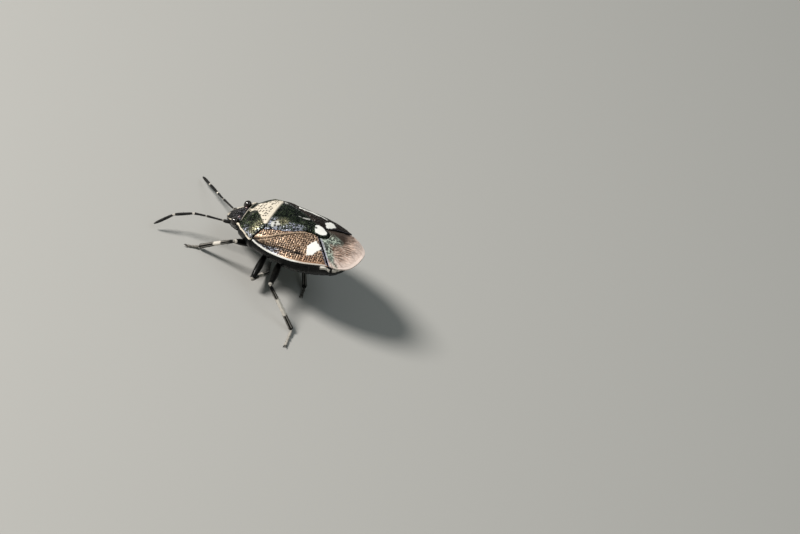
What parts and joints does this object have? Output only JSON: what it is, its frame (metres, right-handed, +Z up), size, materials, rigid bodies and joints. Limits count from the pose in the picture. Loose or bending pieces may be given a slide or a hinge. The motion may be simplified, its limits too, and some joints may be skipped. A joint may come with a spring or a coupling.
{
  "type": "shield bug",
  "caption": "Life-size still shield bug, dark metallic with cream markings, standing nose-down on its legs with feelers spread.",
  "frame": {"origin": "middle of the whole outline, at the level of the feet", "axes": "+X towards the head, +Y to the animal's left, +Z up from the floor"},
  "size_m": [0.0088, 0.008, 0.0036],
  "materials": {
    "shell": "metallic black-green cuticle, finely pitted",
    "wing": "bronze-black pitted cuticle with a cream edge",
    "membrane": "thin smoky film with darker veins",
    "belly": "glossy black cuticle",
    "limb": "black cuticle with cream knees and bands",
    "eye": "dark glossy lens"
  },
  "bodies": {
    "root": {"abdomen": "belly", "antenna_left_1": "limb", "antenna_left_2": "limb", "antenna_left_3": "limb", "antenna_left_4": "limb", "antenna_left_5": "limb", "antenna_right_1": "limb", "antenna_right_2": "limb", "antenna_right_3": "limb", "antenna_right_4": "limb", "antenna_right_5": "limb", "corium_left": "wing", "corium_right": "wing", "coxa_fore_left": "belly", "coxa_fore_right": "belly", "coxa_hind_left": "belly", "coxa_hind_right": "belly", "coxa_mid_left": "belly", "coxa_mid_right": "belly", "eye_left": "eye", "eye_right": "eye", "femur_fore_left": "limb", "femur_fore_right": "limb", "femur_hind_left": "limb", "femur_hind_right": "limb", "femur_mid_left": "limb", "femur_mid_right": "limb", "foot_fore_left": "limb", "foot_fore_right": "limb", "foot_hind_left": "limb", "foot_hind_right": "limb", "foot_mid_left": "limb", "foot_mid_right": "limb", "head": "shell", "membrane_left": "membrane", "membrane_right": "membrane", "ocellus_left": "eye", "ocellus_right": "eye", "pronotum": "shell", "rostrum": "limb", "scutellum": "shell", "thorax": "belly", "tibia_fore_left": "limb", "tibia_fore_right": "limb", "tibia_hind_left": "limb", "tibia_hind_right": "limb", "tibia_mid_left": "limb", "tibia_mid_right": "limb"}
  },
  "joints": []
}
